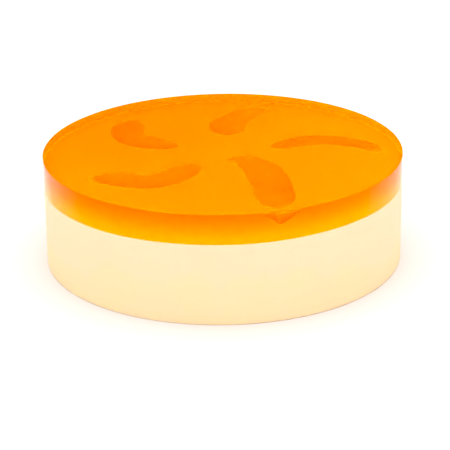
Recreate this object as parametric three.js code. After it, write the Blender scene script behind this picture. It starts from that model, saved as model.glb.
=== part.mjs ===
// A peach jelly cake: a thick disc of pale cream mousse under a thinner disc of clear orange jelly, both set
// in one cake ring, so that their sides are flush. Millimetres, +Z up, origin at the centre of the base.
import * as THREE from "three";

// Driving dimensions
const cakeRadius = 100;      // a 200 mm cake ring
const creamHeight = 44.5;    // depth of mousse in the ring
const jellyHeight = 17;      // depth of jelly poured on it
const baseEdgeRadius = 1.2;  // softened edge where the mousse meets what it stands on
const rimEdgeRadius = 0.9;   // the jelly's top edge, rounded as it is freed from the ring
const segmentsRound = 160;   // flats round the circumference
const stepsInEdge = 4;       // flats across each rounded edge

// Colours and finish
const creamColour = 0xfeeec3;
const jellyColour = 0xffa000;

// A quarter circle in the profile's plane, from one angle to the other round its own centre.
function edgeArc(centreRadius, centreZ, radius, fromAngle, toAngle) {
  return Array.from({ length: stepsInEdge + 1 }, (_, step) => {
    const angle = fromAngle + ((toAngle - fromAngle) * step) / stepsInEdge;
    return new THREE.Vector2(
      centreRadius + radius * Math.cos(angle),
      centreZ + radius * Math.sin(angle),
    );
  });
}

// A disc turned about the vertical axis, from a profile that starts and ends on it.
function turnedDisc(name, profile, material) {
  const geometry = new THREE.LatheGeometry(profile, segmentsRound);
  geometry.rotateX(Math.PI / 2);  // the lathe turns about Y, the cake about Z
  const disc = new THREE.Mesh(geometry, material);
  disc.name = name;
  return disc;
}

// Mousse: straight side, flat top, and a base edge that is only just rounded.
function makeCreamLayer() {
  const profile = [
    new THREE.Vector2(0, 0),
    ...edgeArc(cakeRadius - baseEdgeRadius, baseEdgeRadius, baseEdgeRadius, -Math.PI / 2, 0),
    new THREE.Vector2(cakeRadius, creamHeight),
    new THREE.Vector2(0, creamHeight),
  ];
  const mousse = new THREE.MeshStandardMaterial({ color: creamColour, roughness: 0.55, metalness: 0 });
  return turnedDisc("cream_layer", profile, mousse);
}

// Jelly: lies flat on the mousse, flush with its side, with a rounded top rim.
function makeJellyLayer() {
  const topZ = creamHeight + jellyHeight;
  const profile = [
    new THREE.Vector2(0, creamHeight),
    new THREE.Vector2(cakeRadius, creamHeight),
    ...edgeArc(cakeRadius - rimEdgeRadius, topZ - rimEdgeRadius, rimEdgeRadius, 0, Math.PI / 2),
    new THREE.Vector2(0, topZ),
  ];
  const jelly = new THREE.MeshStandardMaterial({ color: jellyColour, roughness: 0.08, metalness: 0 });
  return turnedDisc("jelly_layer", profile, jelly);
}

const cake = new THREE.Group();
cake.name = "peach_jelly_cake";
cake.add(makeCreamLayer(), makeJellyLayer());

export default cake;
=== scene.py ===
# Looks for a peach jelly cake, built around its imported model: a smooth disc of cream mousse, a clear orange
# jelly set on it, and five tinned peach slices sunk in the jelly. Metres, +Z up, the cake's base at z = 0.
import math

import bpy
from mathutils import Matrix, Vector, noise


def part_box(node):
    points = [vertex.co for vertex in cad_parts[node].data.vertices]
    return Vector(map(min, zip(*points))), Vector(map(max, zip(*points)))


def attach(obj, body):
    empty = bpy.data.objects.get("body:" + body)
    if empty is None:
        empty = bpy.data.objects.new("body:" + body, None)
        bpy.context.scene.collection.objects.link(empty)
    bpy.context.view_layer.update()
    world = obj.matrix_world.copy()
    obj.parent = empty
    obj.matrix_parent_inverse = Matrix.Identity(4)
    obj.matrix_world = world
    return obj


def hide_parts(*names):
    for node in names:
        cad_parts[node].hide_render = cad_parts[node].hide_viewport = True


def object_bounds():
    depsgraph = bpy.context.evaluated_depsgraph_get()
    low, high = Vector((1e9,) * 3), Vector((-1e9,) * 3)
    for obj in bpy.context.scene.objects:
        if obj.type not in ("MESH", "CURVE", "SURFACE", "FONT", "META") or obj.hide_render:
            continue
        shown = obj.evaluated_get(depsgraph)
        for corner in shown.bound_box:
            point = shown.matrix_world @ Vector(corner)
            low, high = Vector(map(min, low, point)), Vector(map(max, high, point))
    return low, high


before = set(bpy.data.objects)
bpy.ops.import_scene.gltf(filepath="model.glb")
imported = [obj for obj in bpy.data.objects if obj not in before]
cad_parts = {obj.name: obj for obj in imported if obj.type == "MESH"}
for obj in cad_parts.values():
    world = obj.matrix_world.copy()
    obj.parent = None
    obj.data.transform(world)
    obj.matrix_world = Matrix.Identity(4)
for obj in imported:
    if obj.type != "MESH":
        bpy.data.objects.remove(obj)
cadLow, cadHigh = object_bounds()
creamLow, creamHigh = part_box("cream_layer")
jellyLow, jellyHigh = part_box("jelly_layer")
cakeRadius = creamHigh.x
mm = 0.001


# Helpers

def linear(hexCode):  # an sRGB hex colour as the linear one that sockets take
    channels = [int(hexCode[i:i + 2], 16) / 255 for i in (1, 3, 5)]
    return [c / 12.92 if c <= 0.04045 else ((c + 0.055) / 1.055) ** 2.4 for c in channels] + [1.0]


# An input is a value, an output, or a node, whose first output is then used. Stops are a colour ramp's, as
# (position, linear colour), from the lowest up.
def addNode(tree, kind, inputs=None, stops=(), **settings):
    node = tree.nodes.new(kind)
    for name, value in settings.items():
        setattr(node, name, value)
    for socket, value in (inputs or {}).items():
        if isinstance(value, bpy.types.Node):
            value = value.outputs[0]
        if isinstance(value, bpy.types.NodeSocket):
            tree.links.new(value, node.inputs[socket])
        else:
            node.inputs[socket].default_value = value
    for i, (position, colour) in enumerate(stops):
        elements = node.color_ramp.elements
        element = elements[i] if i < len(elements) else elements.new(position)
        element.position = position
        element.color = colour
    return node


def newMaterial(name):
    material = bpy.data.materials.new(name)
    material.use_nodes = True
    material.node_tree.nodes.clear()
    return material, material.node_tree


def newPiece(name, vertices, faces, material, **attributes):  # an attribute has a number for each vertex
    mesh = bpy.data.meshes.new(name)
    mesh.from_pydata(vertices, [], faces)
    mesh.update()
    mesh.polygons.foreach_set("use_smooth", [True] * len(mesh.polygons))
    mesh.set_sharp_from_angle(angle=math.radians(35))
    mesh.materials.append(material)
    for attribute, values in attributes.items():
        mesh.attributes.new(attribute, "FLOAT", "POINT").data.foreach_set("value", values)
    piece = bpy.data.objects.new(name, mesh)
    bpy.context.scene.collection.objects.link(piece)
    return piece


# A closed body turned about Z. profileTowards gives its profile in one direction, in degrees from the front
# and growing to the right: (radius, height) from the axis at the bottom to the axis at the top.
def turned(profileTowards, segments):
    directions = [360 * i / segments - 180 for i in range(segments)]
    profiles = [profileTowards(direction) for direction in directions]
    rings = len(profiles[0]) - 2
    points = [Vector((0, 0, profiles[0][0][1]))]
    for ring in range(rings):
        for direction, profile in zip(directions, profiles):
            angle = math.radians(direction)
            radius, height = profile[ring + 1]
            points.append(Vector((radius * math.sin(angle), -radius * math.cos(angle), height)))
    points.append(Vector((0, 0, profiles[0][-1][1])))
    top = len(points) - 1
    faces = []
    for i in range(segments):
        j = (i + 1) % segments
        faces.append((0, 1 + j, 1 + i))
        for ring in range(rings - 1):
            a = 1 + ring * segments
            b = a + segments
            faces.append((a + i, a + j, b + j, b + i))
        faces.append((top, top - segments + i, top - segments + j))
    return points, faces


def arc(centreRadius, centreHeight, radius, fromDegrees, toDegrees, steps):
    for i in range(steps + 1):
        angle = math.radians(fromDegrees + (toDegrees - fromDegrees) * i / steps)
        yield centreRadius + radius * math.cos(angle), centreHeight + radius * math.sin(angle)


def between(start, end, steps):  # the points strictly between two of a profile's
    for i in range(1, steps):
        t = i / steps
        yield start[0] + (end[0] - start[0]) * t, start[1] + (end[1] - start[1]) * t


# Camera

photoView = {
    "distance": 1018.9 * mm,   # to the point aimed at
    "elevation": 21.95,        # degrees, looking down
    "aim": (0.8 * mm, 0.0, 15.6 * mm),
    "roll": -0.78,
    "lens": 144,
    "sensor": 36,
    "clip": (0.05, 50),
}


def addCamera():
    camera = bpy.data.objects.new("photoCamera", bpy.data.cameras.new("photoCamera"))
    bpy.context.scene.collection.objects.link(camera)
    camera.data.lens = photoView["lens"]
    camera.data.sensor_width = photoView["sensor"]
    camera.data.clip_start, camera.data.clip_end = photoView["clip"]
    elevation = math.radians(photoView["elevation"])
    back = Vector((0, -math.cos(elevation), math.sin(elevation)))
    place = Vector((0, 0, photoView["aim"][2])) + back * photoView["distance"]
    look = (Vector(photoView["aim"]) - place).to_track_quat("-Z", "Y").to_matrix()
    turn = look @ Matrix.Rotation(math.radians(photoView["roll"]), 3, "Z")
    camera.matrix_world = Matrix.Translation(place) @ turn.to_4x4()
    bpy.context.scene.camera = camera
    print("camera placed")


# Light and floor

studio = {
    "strength": 3.0,
    # how bright the sky is at each height above the horizon, in degrees, as a share of straight overhead;
    # the dark band stands for a flag that keeps glare off the jelly
    "sky": [(9, 0.36), (13, 0.0), (28, 0.0), (32, 0.8), (90, 1.0)],
    "blackPoint": 0.04,
    "floorColour": "#cccbc9",
    "floorSide": 24.0,
    "floorGap": 0.05 * mm,     # keeps the floor clear of the cake's base
    "feltSize": 6 * mm,
    "feltHeight": 0.1 * mm,
    "bounces": 24,             # many, because light goes up and down in the jelly
    "diffuseBounces": 12,
}


def addStudio():
    world = bpy.data.worlds.new("softStudio")
    world.use_nodes = True
    tree = world.node_tree
    tree.nodes.clear()
    direction = addNode(tree, "ShaderNodeTexCoord").outputs["Generated"]
    height = addNode(tree, "ShaderNodeSeparateXYZ", {0: direction}).outputs["Z"]
    sky = addNode(tree, "ShaderNodeValToRGB", {0: height}, stops=[
        (math.sin(math.radians(degrees)), (share, share, share, 1)) for degrees, share in studio["sky"]])
    light = addNode(tree, "ShaderNodeBackground", {"Color": sky, "Strength": studio["strength"]})
    addNode(tree, "ShaderNodeOutputWorld", {"Surface": light})
    bpy.context.scene.world = world

    half = studio["floorSide"] / 2
    under = cadLow.z - studio["floorGap"]
    corners = [(-half, -half, under), (half, -half, under), (half, half, under), (-half, half, under)]
    newPiece("floor", corners, [(0, 1, 2, 3)], floorMaterial())

    scene = bpy.context.scene
    scene.cycles.max_bounces = studio["bounces"]
    scene.cycles.diffuse_bounces = studio["diffuseBounces"]
    scene.cycles.transmission_bounces = studio["bounces"]
    scene.view_settings.view_transform = "Standard"
    scene.view_settings.look = "None"
    scene.view_settings.use_curve_mapping = True
    scene.view_settings.curve_mapping.black_level = [studio["blackPoint"]] * 3
    print("studio lit")


# Matt white paper sweep: flat and even, with only a trace of its felt
def floorMaterial():
    material, tree = newMaterial("mattePaperSweep")
    place = addNode(tree, "ShaderNodeTexCoord").outputs["Object"]
    felt = addNode(tree, "ShaderNodeTexNoise", {
        "Vector": place, "Scale": 1 / studio["feltSize"], "Detail": 3.0})
    lift = addNode(tree, "ShaderNodeBump", {
        "Height": felt, "Strength": 0.2, "Distance": studio["feltHeight"]})
    surface = addNode(tree, "ShaderNodeBsdfPrincipled", {
        "Base Color": linear(studio["floorColour"]), "Roughness": 0.9, "Specular IOR Level": 0.1,
        "Normal": lift})
    addNode(tree, "ShaderNodeOutputMaterial", {"Surface": surface})
    return material


# The cake's own unevenness, shared by the two layers so that they stay flush and meet everywhere

cakeForm = {
    "joint": (creamHigh.z + jellyLow.z) / 2,
    "jointTilt": 0.9 * mm,     # the jelly is this much deeper at the left edge than in the middle
    "jointLift": 0.4 * mm,     # makes up for the mousse's rounded edge, over which the jelly thins out
    "jointWave": 0.25 * mm,
    "jointWaveLength": 60 * mm,
    "sideDip": 0.18 * mm,      # depth of the hollows that the ring's liner left
    "sideDipWidth": 26 * mm,
    "sideDipUpright": 0.4,     # below 1 they are taller than wide
    "sideDipFade": 8,          # the higher, the closer to the side they stay
}


def settle(point):  # moves a point of either layer to where it lies in the real cake
    joint = cakeForm["joint"]
    if point.z < joint:
        near = (point.z - creamLow.z) / (joint - creamLow.z)
    else:
        near = (jellyHigh.z - point.z) / (jellyHigh.z - joint)
    wave = noise.noise(Vector((point.x, point.y, 0)) / cakeForm["jointWaveLength"])
    tilt = cakeForm["jointTilt"] * point.x / cakeRadius
    lift = cakeForm["jointLift"] + tilt + cakeForm["jointWave"] * wave
    reach = math.hypot(point.x, point.y) / cakeRadius
    place = point / cakeForm["sideDipWidth"]
    place.z *= cakeForm["sideDipUpright"]
    hollow = cakeForm["sideDip"] * (0.5 + 0.5 * noise.noise(place))
    inward = 1 - max(0.0, hollow) * reach ** cakeForm["sideDipFade"] / cakeRadius
    return Vector((point.x * inward, point.y * inward, point.z + lift * max(0.0, near) ** 2))


# Cream mousse

cream = {
    "baseEdge": 0.4 * mm,
    "lipRadius": 1.0 * mm,         # of its rounded top edge, over which the jelly thins out
    "lipFrom": 60,                 # where that starts, in degrees, so that the jelly ends in an edge
    "segments": 360,
    "edgeSteps": 6,                # rings of faces across each rounded edge, and on each flat part
    "baseRings": 8,
    "sideRings": 30,
    "topRings": 16,
    "colour": "#ffd9b3",
    "lowColour": "#ffdaab",        # the foot, a touch yellower
    "lowHeightFront": 26 * mm,     # how far up the foot's colour reaches, at front and back
    "lowHeightSide": 12 * mm,
    "lowSoftness": 9 * mm,
    "lowLeast": 0.45,              # its share in the palest blotches
    "blotch": 24 * mm,
    "blotchReach": 40 * mm,        # how much the blotches shift its upper limit
    "juiceAndShadeColour": "#ffa040",      # stain of the jelly's juice, also used as painted shade on the top and in the pores
    "juiceDepth": 0.6 * mm,        # how far it soaks down the side
    "leftBackShade": (-0.6, 0.8, 0),     # towards where painted shade darkens the top, seen from the middle
    "leftBackShadeReach": 0.75 * cakeRadius,
    "leftBackShadeShare": 0.2,
    "rimShadeWidth": 34 * mm,           # of the painted shade beside the rim
    "rimShadeFront": 0.2,          # how strong that is at the front and back, and at the left and right
    "rimShadeSide": 0.08,
    "rimShadeFrontFrom": 0.7 * cakeRadius,
    "streakWidth": 2.5 * mm,
    "streakUpright": 0.05,         # below 1 they are taller than wide
    "streakHeight": 0.3,           # as a share of a pore's depth
    "poreSpacing": 2.2 * mm,
    "poreSize": 0.35 * mm,
    # painted shade at the bottom of each pore
    "poreShade": 0.35,
    "relief": 0.12 * mm,
    "roughness": (0.38, 0.62),
    "lightReach": 1.2 * mm,        # how far light spreads below the surface
}


# Cream mousse set against a ring: close, pale and satin, with fine pores and faint marks of the ring's
# liner. Where the jelly lies on it, the juice has stained it, and that stain is laid on as painted shade
# towards the left and back and beside the rim.
def creamMaterial():
    material, tree = newMaterial("setCreamMousse")
    place = addNode(tree, "ShaderNodeTexCoord").outputs["Object"]
    axes = addNode(tree, "ShaderNodeSeparateXYZ", {0: place}).outputs
    blotches = addNode(tree, "ShaderNodeTexNoise", {
        "Vector": place, "Scale": 1 / cream["blotch"], "Detail": 4.0, "Roughness": 0.55})

    # the yellower foot, whose upper limit arches up at the front and back
    squared = addNode(tree, "ShaderNodeMath", {0: axes["Y"], 1: axes["Y"]}, operation="MULTIPLY")
    arch = addNode(tree, "ShaderNodeMapRange", {
        "Value": squared, "From Max": cakeRadius ** 2,
        "To Min": cream["lowHeightSide"], "To Max": cream["lowHeightFront"]})
    limit = addNode(tree, "ShaderNodeMath", {
        0: blotches, 1: cream["blotchReach"], 2: arch}, operation="MULTIPLY_ADD")
    under = addNode(tree, "ShaderNodeMath", {0: limit, 1: axes["Z"]}, operation="SUBTRACT")
    low = addNode(tree, "ShaderNodeMapRange", {
        "Value": under, "From Min": (cream["blotchReach"] - cream["lowSoftness"]) / 2,
        "From Max": (cream["blotchReach"] + cream["lowSoftness"]) / 2}, interpolation_type="SMOOTHSTEP")
    patches = addNode(tree, "ShaderNodeMapRange", {
        "Value": blotches, "From Min": 0.3, "From Max": 0.7, "To Min": cream["lowLeast"]})
    lowShare = addNode(tree, "ShaderNodeMath", {0: low, 1: patches}, operation="MULTIPLY")
    colour = addNode(tree, "ShaderNodeMix", {
        "Factor": lowShare, 6: linear(cream["colour"]), 7: linear(cream["lowColour"])},
        data_type="RGBA").outputs[2]

    # the juice stain, on top and just below it down the side, laid on as painted shade towards the left and
    # back and beside the rim
    below = addNode(tree, "ShaderNodeAttribute", attribute_name="belowJelly").outputs["Fac"]
    soaked = addNode(tree, "ShaderNodeMapRange", {
        "Value": below, "From Max": cream["juiceDepth"], "To Min": 1.0, "To Max": 0.0},
        interpolation_type="SMOOTHSTEP")
    towards = addNode(tree, "ShaderNodeVectorMath", {0: place, 1: cream["leftBackShade"]},
                      operation="DOT_PRODUCT").outputs["Value"]
    leftBackShade = addNode(tree, "ShaderNodeMapRange", {
        "Value": towards, "From Max": cream["leftBackShadeReach"], "To Max": cream["leftBackShadeShare"]},
        interpolation_type="SMOOTHSTEP")
    flat = addNode(tree, "ShaderNodeVectorMath", {0: place, 1: (1, 1, 0)}, operation="MULTIPLY")
    radius = addNode(tree, "ShaderNodeVectorMath", {0: flat}, operation="LENGTH").outputs["Value"]
    nearRim = addNode(tree, "ShaderNodeMapRange", {
        "Value": radius, "From Min": cakeRadius - cream["rimShadeWidth"], "From Max": cakeRadius},
        interpolation_type="SMOOTHSTEP")
    rimShadeShare = addNode(tree, "ShaderNodeMapRange", {
        "Value": squared, "From Max": cream["rimShadeFrontFrom"] ** 2,
        "To Min": cream["rimShadeSide"], "To Max": cream["rimShadeFront"]})
    # painted shade: the top darker towards the left and back and beside the rim
    paintedShade = addNode(tree, "ShaderNodeMath", {0: nearRim, 1: rimShadeShare, 2: leftBackShade},
                       operation="MULTIPLY_ADD")
    juiceAndShade = addNode(tree, "ShaderNodeMath", {0: paintedShade, 1: soaked}, operation="MULTIPLY")
    colour = addNode(tree, "ShaderNodeMix", {"Factor": juiceAndShade, 6: colour, 7: linear(cream["juiceAndShadeColour"])},
                     data_type="RGBA").outputs[2]

    # pores, with painted shade darkening them towards the bottom, and upright streaks from the liner
    pores = addNode(tree, "ShaderNodeTexVoronoi", {"Vector": place, "Scale": 1 / cream["poreSpacing"]})
    pits = addNode(tree, "ShaderNodeMapRange", {
        "Value": pores, "From Max": cream["poreSize"] / cream["poreSpacing"], "To Min": 1.0, "To Max": 0.0},
        interpolation_type="SMOOTHSTEP")
    shaded = addNode(tree, "ShaderNodeMath", {0: pits, 1: cream["poreShade"]}, operation="MULTIPLY")
    colour = addNode(tree, "ShaderNodeMix", {"Factor": shaded, 6: colour, 7: linear(cream["juiceAndShadeColour"])},
                     data_type="RGBA").outputs[2]
    stretched = addNode(tree, "ShaderNodeMapping", {
        "Vector": place, "Scale": (1, 1, cream["streakUpright"])})
    streaks = addNode(tree, "ShaderNodeTexNoise", {
        "Vector": stretched, "Scale": 1 / cream["streakWidth"], "Detail": 2.0})
    ridges = addNode(tree, "ShaderNodeMath", {0: streaks, 1: cream["streakHeight"]}, operation="MULTIPLY")
    relief = addNode(tree, "ShaderNodeMath", {0: ridges, 1: pits}, operation="SUBTRACT")
    lift = addNode(tree, "ShaderNodeBump", {
        "Height": relief, "Strength": 0.5, "Distance": cream["relief"]})

    glossiest, dullest = cream["roughness"]
    sheen = addNode(tree, "ShaderNodeMapRange", {"Value": streaks, "To Min": glossiest, "To Max": dullest})
    surface = addNode(tree, "ShaderNodeBsdfPrincipled", {
        "Base Color": colour, "Roughness": sheen, "IOR": 1.45, "Specular IOR Level": 0.15,
        "Subsurface Weight": 1.0, "Subsurface Radius": (1.0, 0.9, 0.7),
        "Subsurface Scale": cream["lightReach"], "Normal": lift}, subsurface_method="BURLEY")
    addNode(tree, "ShaderNodeOutputMaterial", {"Surface": surface})
    return material


def creamLip():  # the rounded edge, from the side up to the flat top
    radius, start = cream["lipRadius"], cream["lipFrom"]
    centre = cakeRadius - radius * math.cos(math.radians(start))
    return list(arc(centre, creamHigh.z - radius, radius, start, 90, cream["edgeSteps"]))


def creamProfile(towards):  # the same in every direction
    edge = cream["baseEdge"]
    low, high = creamLow.z, creamHigh.z
    foot = list(arc(cakeRadius - edge, low + edge, edge, -90, 0, cream["edgeSteps"]))
    lip = creamLip()
    return [(0, low), *between((0, low), foot[0], cream["baseRings"]), *foot,
            *between(foot[-1], lip[0], cream["sideRings"]), *lip,
            *between(lip[-1], (0, high), cream["topRings"]), (0, high)]


def makeCream():
    points, faces = turned(creamProfile, cream["segments"])
    piece = newPiece("cream_mousse", [settle(point) for point in points], faces, creamMaterial(),
                     belowJelly=[cakeForm["joint"] - point.z for point in points])
    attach(piece, "root")
    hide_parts("cream_layer")
    print("cream mousse made")


# Jelly

jelly = {
    "rimEdge": 0.4 * mm,
    "softRimEdge": 1.0 * mm,           # where the liner dragged at the rim, which catches the light there
    "softRim": [(-19, 7), (16, 8)],    # the middle and half the width of each such place, in degrees
    "rimFlat": 0.6 * mm,               # width of the ring beside the rim that keeps the top's shading flat
    "sink": 0.6 * mm,                  # how far it reaches into the mousse, so that no air shows between
    "segments": 360,
    "edgeSteps": 8,                    # rings of faces across the rim, and on each flat part
    "baseRings": 16,
    "sideRings": 12,
    "topRings": 12,
    "tint": "#fffb00",                 # what it lets through
    "tintDensity": 425,                # per metre
    "glint": "#5a2400",                # reflections, faint seen straight on and white at a glancing angle
    "ior": 1.40,
    "ripple": 14 * mm,
    "linerMark": 3 * mm,
    "linerMarkUpright": 0.08,          # below 1 they are taller than wide
    "linerMarkHeight": 0.04,           # as a share of a ripple's
    "relief": 0.3 * mm,
    "roughness": (0.02, 0.05),
}


# Fruit jelly set with gelatine: clear, wet and smooth, its colour all in its depth, with soft ripples on
# top and faint upright marks of the liner round its side
def jellyMaterial():
    material, tree = newMaterial("clearPeachJelly")
    place = addNode(tree, "ShaderNodeTexCoord").outputs["Object"]
    ripples = addNode(tree, "ShaderNodeTexNoise", {
        "Vector": place, "Scale": 1 / jelly["ripple"], "Detail": 1.0})
    stretched = addNode(tree, "ShaderNodeMapping", {
        "Vector": place, "Scale": (1, 1, jelly["linerMarkUpright"])})
    marks = addNode(tree, "ShaderNodeTexNoise", {
        "Vector": stretched, "Scale": 1 / jelly["linerMark"], "Detail": 2.0})
    relief = addNode(tree, "ShaderNodeMath", {0: marks, 1: jelly["linerMarkHeight"], 2: ripples},
                     operation="MULTIPLY_ADD")
    lift = addNode(tree, "ShaderNodeBump", {
        "Height": relief, "Strength": 0.13, "Distance": jelly["relief"]})
    glossiest, dullest = jelly["roughness"]
    haze = addNode(tree, "ShaderNodeMapRange", {"Value": ripples, "To Min": glossiest, "To Max": dullest})
    surface = addNode(tree, "ShaderNodeBsdfPrincipled", {
        "Base Color": (1, 1, 1, 1), "Roughness": haze, "IOR": jelly["ior"], "Transmission Weight": 1.0,
        "Specular Tint": linear(jelly["glint"]), "Normal": lift})
    depth = addNode(tree, "ShaderNodeVolumeAbsorption",
                    {"Color": linear(jelly["tint"]), "Density": jelly["tintDensity"]})
    addNode(tree, "ShaderNodeOutputMaterial", {"Surface": surface, "Volume": depth})
    return material


def rimSoftness(towards):  # from 0 for the crisp rim to 1
    return max(0.0, *(1 - ((towards - middle) / half) ** 2 for middle, half in jelly["softRim"]))


def jellyProfile(towards):
    sunk, high = jellyLow.z - jelly["sink"], jellyHigh.z
    edge = jelly["rimEdge"] + (jelly["softRimEdge"] - jelly["rimEdge"]) * rimSoftness(towards)
    lip = creamLip()
    inset = lip[-1][0] - jelly["sink"]
    rim = list(arc(cakeRadius - edge, high - edge, edge, 0, 90, jelly["edgeSteps"]))
    inside = (rim[-1][0] - jelly["rimFlat"], high)
    return [(0, sunk), *between((0, sunk), (inset, sunk), jelly["baseRings"]), (inset, sunk),
            lip[0], *between(lip[0], rim[0], jelly["sideRings"]), *rim,
            inside, *between(inside, (0, high), jelly["topRings"]), (0, high)]


def makeJelly():
    points, faces = turned(jellyProfile, jelly["segments"])
    piece = newPiece("peach_jelly", [settle(point) for point in points], faces, jellyMaterial())
    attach(piece, "root")
    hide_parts("jelly_layer")
    print("jelly made")


# Peach slices

slices = {
    "colour": "#ff9d05",
    "paleColour": "#ffad26",       # where the flesh thins out and light comes through
    "deepColour": "#ff8f02",
    "cutFacePaintedLight": "#ffb84c",        # the cut faces below: paler flesh, and painted light against the shade they get facing down
    "plainTone": 0.4,              # where the plain colour lies between the deep one and the pale one
    "cloud": 9 * mm,
    "cloudTone": 0.2,              # how far the clouds change the tone either way
    "skinTone": -0.12,             # and how far the skin's side does
    "cutFrom": -0.3,               # how far down the cut faces' colour and painted light are full, as a share of the keel
    "fibreWidth": 1.1 * mm,
    "fibreShare": 0.3,             # of the pale colour in a fibre
    "fibreRelief": 0.2 * mm,
    "roughness": (0.3, 0.5),
    "lightReach": 6 * mm,          # how far light spreads in the flesh
    "crown": 0.18,                 # height above the middle line, as a share of the half width
    "ridge": 1.25,                 # 1 for a sharp edge where the cut faces meet, more for a rounder one
    "skinSide": 0.1,               # how much thicker the skin's side is than the middle
    "tipBluntness": 10.0,
    "keelBluntness": 4.0,          # lower than the tips', so that the ridge rises towards them
    "relief": 0.1 * mm,
    "reliefSize": 5 * mm,
    "seed": 3.0,
    "frayFrom": 0.7,               # how far across towards the stone's side that relief grows
    "stations": 90,                # points along each slice and round it
    "pointsRound": 40,
    # Each slice's middle line, seen from above, with the skin's side on its right: x, y, depth below the
    # top of the jelly and half width, in millimetres. Its keel is the depth of its wedge as a share of the
    # half width, and its fray is how many times rougher the stone's side is. Its tones, from 0 for deep to
    # 1 for pale, are those of its first and last ends.
    "each": [
        {"keel": 0.5, "fray": 1.0, "tones": (0.05, 0.35), "line": [
            (-49.5, 56, 6, 5.5), (-51.5, 51.5, 6, 7.6), (-54.2, 43, 6, 9.8), (-54.2, 33, 6, 9.7),
            (-49.7, 23, 6, 9.8), (-41, 17, 6, 9.8), (-31.5, 12.5, 6, 7.8), (-24.5, 9, 6, 5)]},
        {"keel": 0.5, "fray": 1.0, "tones": (0.7, 0.3), "line": [
            (28.5, 74.5, 6, 4), (23, 72, 6, 6.5), (16, 67.5, 6, 8.5), (9.5, 60.5, 6, 9.8),
            (4.5, 51, 6, 10.8), (3.3, 41, 6, 11), (3.3, 33.5, 6, 9), (4, 28, 6, 5)]},
        {"keel": 0.5, "fray": 1.0, "tones": (0.45, 0.35), "line": [
            (88, -3, 6, 4), (82, 5.5, 6, 6), (73.5, 12, 6, 7.2), (65, 16, 6, 7.6), (56, 17.6, 6, 8),
            (47.5, 16.4, 6, 8.2), (40, 13.4, 6, 7.8), (32.5, 9, 6, 6.5), (27, 5.5, 6, 4.5)]},
        {"keel": 0.85, "fray": 7.0, "tones": (0.3, 0.6), "line": [
            (27, -90.4, 2.6, 5.5), (27.3, -81.7, 4.6, 8.8), (27.2, -69.4, 6.3, 10.6), (26.2, -56, 6.6, 11),
            (24.3, -43, 6, 11.3), (21.6, -30.5, 6, 10.8), (17.4, -21, 6, 9.4), (12, -14.5, 6, 8),
            (6.4, -13, 6, 5.2), (1.7, -15.2, 6, 2.8)]},
        {"keel": 0.5, "fray": 1.5, "tones": (0.45, 0.4), "line": [
            (-73.5, -39, 6, 3.6), (-66, -39.5, 6, 7.8), (-57.5, -40, 6, 10.8), (-49.5, -44, 6, 10.2),
            (-39, -45.5, 6, 10.3), (-29, -40.5, 6, 10.1), (-22, -31, 6, 9.4), (-18, -23, 6, 8.4),
            (-18.5, -18, 6, 6)]},
    ],
}


# Tinned peach flesh: soft, wet and a deeper orange than the jelly round it, uneven in tone, paler on its
# cut faces below, partly as painted light against their shade, with fibres from the stone's side to the
# skin's
def peachMaterial():
    material, tree = newMaterial("tinnedPeachFlesh")
    across, along, tone, rise = (
        addNode(tree, "ShaderNodeAttribute", attribute_name=name).outputs["Fac"]
        for name in ("across", "along", "tone", "rise"))
    place = addNode(tree, "ShaderNodeTexCoord").outputs["Object"]
    pale, plain, deep = (linear(slices[name]) for name in ("paleColour", "colour", "deepColour"))

    clouds = addNode(tree, "ShaderNodeTexNoise", {
        "Vector": place, "Scale": 1 / slices["cloud"], "Detail": 3.0})
    uneven = addNode(tree, "ShaderNodeMapRange", {
        "Value": clouds, "To Min": -slices["cloudTone"], "To Max": slices["cloudTone"]})
    clouded = addNode(tree, "ShaderNodeMath", {0: tone, 1: uneven}, operation="ADD")
    skinward = addNode(tree, "ShaderNodeMath", {0: across, 1: slices["skinTone"], 2: clouded},
                       operation="MULTIPLY_ADD")
    flesh = addNode(tree, "ShaderNodeValToRGB", {0: skinward}, stops=[
        (0.0, deep), (slices["plainTone"], plain), (1.0, pale)])

    spread = addNode(tree, "ShaderNodeMath", {0: along, 1: slices["fibreWidth"]}, operation="DIVIDE")
    threads = addNode(tree, "ShaderNodeCombineXYZ", {"X": spread, "Y": across})
    fibres = addNode(tree, "ShaderNodeTexNoise", {"Vector": threads, "Scale": 1.0, "Detail": 3.0})
    light = addNode(tree, "ShaderNodeMapRange", {
        "Value": fibres, "From Min": 0.4, "To Max": slices["fibreShare"]})
    flesh = addNode(tree, "ShaderNodeMix", {"Factor": light, 6: flesh, 7: pale},
                    data_type="RGBA").outputs[2]
    # painted light: the cut faces below are paler, as they face down and get little light
    cutFaceLift = addNode(tree, "ShaderNodeMapRange", {"Value": rise, "From Max": slices["cutFrom"]})
    flesh = addNode(tree, "ShaderNodeMix", {"Factor": cutFaceLift, 6: flesh, 7: linear(slices["cutFacePaintedLight"])},
                    data_type="RGBA").outputs[2]

    lift = addNode(tree, "ShaderNodeBump", {
        "Height": fibres, "Strength": 0.4, "Distance": slices["fibreRelief"]})
    glossiest, dullest = slices["roughness"]
    wet = addNode(tree, "ShaderNodeMapRange", {"Value": fibres, "To Min": glossiest, "To Max": dullest})
    surface = addNode(tree, "ShaderNodeBsdfPrincipled", {
        "Base Color": flesh, "Roughness": wet, "Specular IOR Level": 0.1, "Subsurface Weight": 1.0,
        "Subsurface Radius": (1.0, 0.7, 0.3), "Subsurface Scale": slices["lightReach"], "Normal": lift})
    addNode(tree, "ShaderNodeOutputMaterial", {"Surface": surface})
    return material


# The tree's inputs, each with the name of its value in the dictionary
sliceSizes = {"Crown": "crown", "Ridge": "ridge", "Skin Side": "skinSide", "Tip Bluntness": "tipBluntness",
              "Keel Bluntness": "keelBluntness", "Relief": "relief", "Relief Size": "reliefSize",
              "Seed": "seed"}


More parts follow.
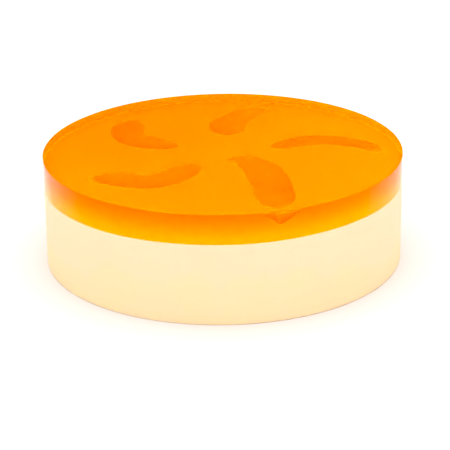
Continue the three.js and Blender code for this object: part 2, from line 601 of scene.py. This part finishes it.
# Sweeps a flat band along each line, with blunt tips, then lifts its upper side to a low crown and lowers
# its under side to two cut faces that meet in a ridge
def sliceTree(material):
    tree = bpy.data.node_groups.new("peachSlices", "GeometryNodeTree")
    tree.interface.new_socket("Lines", in_out="INPUT", socket_type="NodeSocketGeometry")
    for name in sliceSizes:
        tree.interface.new_socket(name, in_out="INPUT", socket_type="NodeSocketFloat")
    tree.interface.new_socket("Slices", in_out="OUTPUT", socket_type="NodeSocketGeometry")
    start = addNode(tree, "NodeGroupInput").outputs

    # the middle lines, and how wide each is along its length
    curves = addNode(tree, "GeometryNodeMeshToCurve", {"Mesh": start["Lines"]})
    smooth = addNode(tree, "GeometryNodeCurveSplineType", {"Curve": curves}, spline_type="CATMULL_ROM")
    finer = addNode(tree, "GeometryNodeResampleCurve", {"Curve": smooth, "Count": slices["stations"]})
    way = addNode(tree, "GeometryNodeSplineParameter").outputs
    line = addNode(tree, "GeometryNodeStoreNamedAttribute", {
        "Geometry": finer, "Name": "along", "Value": way["Length"]}, data_type="FLOAT")
    full = 1.001    # just above 1, so that the tips keep some width
    middle = addNode(tree, "ShaderNodeMath", {0: way["Factor"], 1: 2.0, 2: -1.0}, operation="MULTIPLY_ADD")
    tip = addNode(tree, "ShaderNodeMath", {0: middle}, operation="ABSOLUTE")
    steep = addNode(tree, "ShaderNodeMath", {0: tip, 1: start["Tip Bluntness"]}, operation="POWER")
    rest = addNode(tree, "ShaderNodeMath", {0: full, 1: steep}, operation="SUBTRACT")
    taper = addNode(tree, "ShaderNodeMath", {0: rest}, operation="SQRT")
    halfWidth = addNode(tree, "GeometryNodeInputNamedAttribute", {"Name": "halfWidth"}, data_type="FLOAT")
    width = addNode(tree, "ShaderNodeMath", {0: halfWidth, 1: taper}, operation="MULTIPLY")
    line = addNode(tree, "GeometryNodeStoreNamedAttribute", {
        "Geometry": line, "Name": "size", "Value": width}, data_type="FLOAT")
    keel = addNode(tree, "GeometryNodeInputNamedAttribute", {"Name": "keel"}, data_type="FLOAT")
    steep = addNode(tree, "ShaderNodeMath", {0: tip, 1: start["Keel Bluntness"]}, operation="POWER")
    rest = addNode(tree, "ShaderNodeMath", {0: full, 1: steep}, operation="SUBTRACT")
    deep = addNode(tree, "ShaderNodeMath", {0: keel, 1: rest}, operation="MULTIPLY")
    line = addNode(tree, "GeometryNodeStoreNamedAttribute", {
        "Geometry": line, "Name": "keel", "Value": deep}, data_type="FLOAT")

    # the band, a circle pressed flat: each of its points keeps how far across it lies, and how far it is
    # to rise or sink. The half whose Y is above 0 ends up underneath.
    circle = addNode(tree, "GeometryNodeCurvePrimitiveCircle", {
        "Resolution": slices["pointsRound"], "Radius": 1.0})
    place = addNode(tree, "GeometryNodeInputPosition")
    around = addNode(tree, "ShaderNodeSeparateXYZ", {0: place}).outputs
    marked = addNode(tree, "GeometryNodeStoreNamedAttribute", {
        "Geometry": circle, "Name": "across", "Value": around["X"]}, data_type="FLOAT")
    out = addNode(tree, "ShaderNodeMath", {0: around["X"]}, operation="ABSOLUTE")
    curved = addNode(tree, "ShaderNodeMath", {0: out, 1: out}, operation="MULTIPLY")
    straight = addNode(tree, "ShaderNodeMath", {0: out, 1: start["Ridge"]}, operation="POWER")
    above = addNode(tree, "ShaderNodeMath", {0: 1.0, 1: curved}, operation="SUBTRACT")
    below = addNode(tree, "ShaderNodeMath", {0: straight, 1: 1.0}, operation="SUBTRACT")
    isBelow = addNode(tree, "ShaderNodeMath", {0: around["Y"], 1: 0.0}, operation="GREATER_THAN")
    rise = addNode(tree, "ShaderNodeMix", {0: isBelow, 2: above, 3: below})
    marked = addNode(tree, "GeometryNodeStoreNamedAttribute", {
        "Geometry": marked, "Name": "rise", "Value": rise}, data_type="FLOAT")
    flat = addNode(tree, "ShaderNodeCombineXYZ", {"X": around["X"]})
    band = addNode(tree, "GeometryNodeSetPosition", {"Geometry": marked, "Position": flat})
    size = addNode(tree, "GeometryNodeInputNamedAttribute", {"Name": "size"}, data_type="FLOAT")
    swept = addNode(tree, "GeometryNodeCurveToMesh", {
        "Curve": line, "Profile Curve": band, "Scale": size, "Fill Caps": True})

    # crown and wedge
    rises = addNode(tree, "GeometryNodeInputNamedAttribute", {"Name": "rise"}, data_type="FLOAT")
    side = addNode(tree, "GeometryNodeInputNamedAttribute", {"Name": "across"}, data_type="FLOAT")
    up = addNode(tree, "ShaderNodeMath", {0: rises, 1: 0.0}, operation="MAXIMUM")
    down = addNode(tree, "ShaderNodeMath", {0: rises, 1: 0.0}, operation="MINIMUM")
    crowned = addNode(tree, "ShaderNodeMath", {0: up, 1: start["Crown"]}, operation="MULTIPLY")
    both = addNode(tree, "ShaderNodeMath", {0: down, 1: keel, 2: crowned}, operation="MULTIPLY_ADD")
    fuller = addNode(tree, "ShaderNodeMath", {0: side, 1: start["Skin Side"], 2: 1.0},
                     operation="MULTIPLY_ADD")
    shaped = addNode(tree, "ShaderNodeMath", {0: both, 1: fuller}, operation="MULTIPLY")
    height = addNode(tree, "ShaderNodeMath", {0: shaped, 1: size}, operation="MULTIPLY")
    lifted = addNode(tree, "ShaderNodeCombineXYZ", {"Z": height})
    solid = addNode(tree, "GeometryNodeSetPosition", {"Geometry": swept, "Offset": lifted})

    # relief, rougher where the stone tore the flesh
    often = addNode(tree, "ShaderNodeMath", {0: 1.0, 1: start["Relief Size"]}, operation="DIVIDE")
    bumps = addNode(tree, "ShaderNodeTexNoise", {
        "Vector": place, "W": start["Seed"], "Scale": often, "Detail": 2.0}, noise_dimensions="4D")
    signed = addNode(tree, "ShaderNodeMath", {0: bumps, 1: 2.0, 2: -1.0}, operation="MULTIPLY_ADD")
    fray = addNode(tree, "GeometryNodeInputNamedAttribute", {"Name": "fray"}, data_type="FLOAT")
    rough = addNode(tree, "ShaderNodeMapRange", {
        "Value": side, "From Min": -slices["frayFrom"], "From Max": -1.0, "To Min": 1.0, "To Max": fray})
    torn = addNode(tree, "ShaderNodeMath", {0: signed, 1: rough}, operation="MULTIPLY")
    high = addNode(tree, "ShaderNodeMath", {0: torn, 1: start["Relief"]}, operation="MULTIPLY")
    normal = addNode(tree, "GeometryNodeInputNormal")
    push = addNode(tree, "ShaderNodeVectorMath", {0: normal, "Scale": high}, operation="SCALE")
    uneven = addNode(tree, "GeometryNodeSetPosition", {"Geometry": solid, "Offset": push})
    shaded = addNode(tree, "GeometryNodeSetShadeSmooth", {"Geometry": uneven})
    real = addNode(tree, "GeometryNodeRealizeInstances", {"Geometry": shaded})
    finished = addNode(tree, "GeometryNodeSetMaterial", {"Geometry": real, "Material": material})
    addNode(tree, "NodeGroupOutput", {"Slices": finished})
    return tree


def makeSlices():
    points, edges = [], []
    marks = {"halfWidth": [], "keel": [], "fray": [], "tone": []}
    for each in slices["each"]:
        last = len(each["line"]) - 1
        firstTone, lastTone = each["tones"]
        for i, (x, y, depth, halfWidth) in enumerate(each["line"]):
            if i > 0:
                edges.append((len(points) - 1, len(points)))
            points.append((x * mm, y * mm, jellyHigh.z - depth * mm))
            marks["halfWidth"].append(halfWidth * mm)
            marks["keel"].append(each["keel"])
            marks["fray"].append(each["fray"])
            marks["tone"].append(firstTone + (lastTone - firstTone) * i / last)
    lines = bpy.data.meshes.new("sliceLines")
    lines.from_pydata(points, edges, [])
    for name, values in marks.items():
        lines.attributes.new(name, "FLOAT", "POINT").data.foreach_set("value", values)
    carrier = bpy.data.objects.new("sliceLines", lines)
    bpy.context.scene.collection.objects.link(carrier)
    tree = sliceTree(peachMaterial())
    modifier = carrier.modifiers.new("peachSlices", "NODES")
    modifier.node_group = tree
    for socket in tree.interface.items_tree:
        if socket.name in sliceSizes:
            modifier[socket.identifier] = slices[sliceSizes[socket.name]]
    evaluated = carrier.evaluated_get(bpy.context.evaluated_depsgraph_get())
    mesh = bpy.data.meshes.new_from_object(evaluated)
    bpy.data.objects.remove(carrier)
    mesh.name = "peach_slices"
    piece = bpy.data.objects.new("peach_slices", mesh)
    bpy.context.scene.collection.objects.link(piece)
    piece.visible_diffuse = False   # ripe flesh lets light through, so that no shade falls on the mousse
    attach(piece, "root")
    print("peach slices made", len(mesh.vertices))


addCamera()
addStudio()
makeCream()
makeJelly()
makeSlices()
